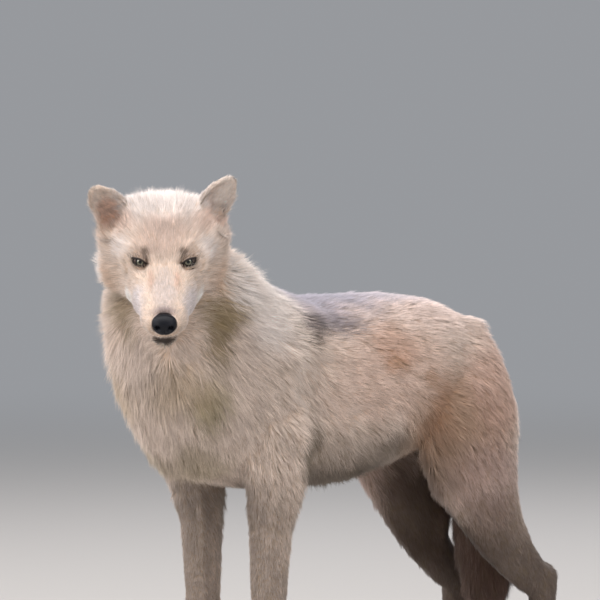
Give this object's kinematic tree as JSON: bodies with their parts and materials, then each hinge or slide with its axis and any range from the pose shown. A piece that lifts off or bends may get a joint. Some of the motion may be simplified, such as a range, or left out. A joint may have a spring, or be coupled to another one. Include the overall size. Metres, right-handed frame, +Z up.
{
  "type": "arctic wolf",
  "caption": "Still, life-size arctic wolf standing on all fours, tail hanging, with its head lowered and turned to its left.",
  "frame": {"origin": "on the floor, in the middle of the footprint of the whole model's box", "axes": "+Z up, the nose towards -Y, the wolf's left side towards +X"},
  "size_m": [0.3508, 1.1396, 0.9925],
  "materials": {
    "coat_cream": "thick winter coat, creamy white with tan and grey shading",
    "coat_pale": "short to shaggy pale fur, near white",
    "claw": "dark polished horn",
    "nose_leather": "damp black nose leather",
    "eye": "wet grey-yellow iris round a dark pupil"
  },
  "bodies": {
    "root": {"head": "coat_pale", "jaw": "coat_pale", "nose": "nose_leather", "eye_left": "eye", "ear_left": "coat_pale", "eye_right": "eye", "ear_right": "coat_pale", "trunk": "coat_cream", "neck": "coat_pale", "tail": "coat_cream", "shoulder_left": "coat_cream", "forearm_left": "coat_pale", "fore_pastern_left": "coat_pale", "fore_paw_left": "coat_pale", "thigh_left": "coat_cream", "shank_left": "coat_pale", "hock_left": "coat_pale", "hind_paw_left": "coat_pale", "fore_claw_left_1": "claw", "fore_claw_left_2": "claw", "fore_claw_left_3": "claw", "fore_claw_left_4": "claw", "hind_claw_left_1": "claw", "hind_claw_left_2": "claw", "hind_claw_left_3": "claw", "hind_claw_left_4": "claw", "shoulder_right": "coat_cream", "forearm_right": "coat_pale", "fore_pastern_right": "coat_pale", "fore_paw_right": "coat_pale", "thigh_right": "coat_cream", "shank_right": "coat_pale", "hock_right": "coat_pale", "hind_paw_right": "coat_pale", "fore_claw_right_1": "claw", "fore_claw_right_2": "claw", "fore_claw_right_3": "claw", "fore_claw_right_4": "claw", "hind_claw_right_1": "claw", "hind_claw_right_2": "claw", "hind_claw_right_3": "claw", "hind_claw_right_4": "claw"}
  },
  "joints": []
}
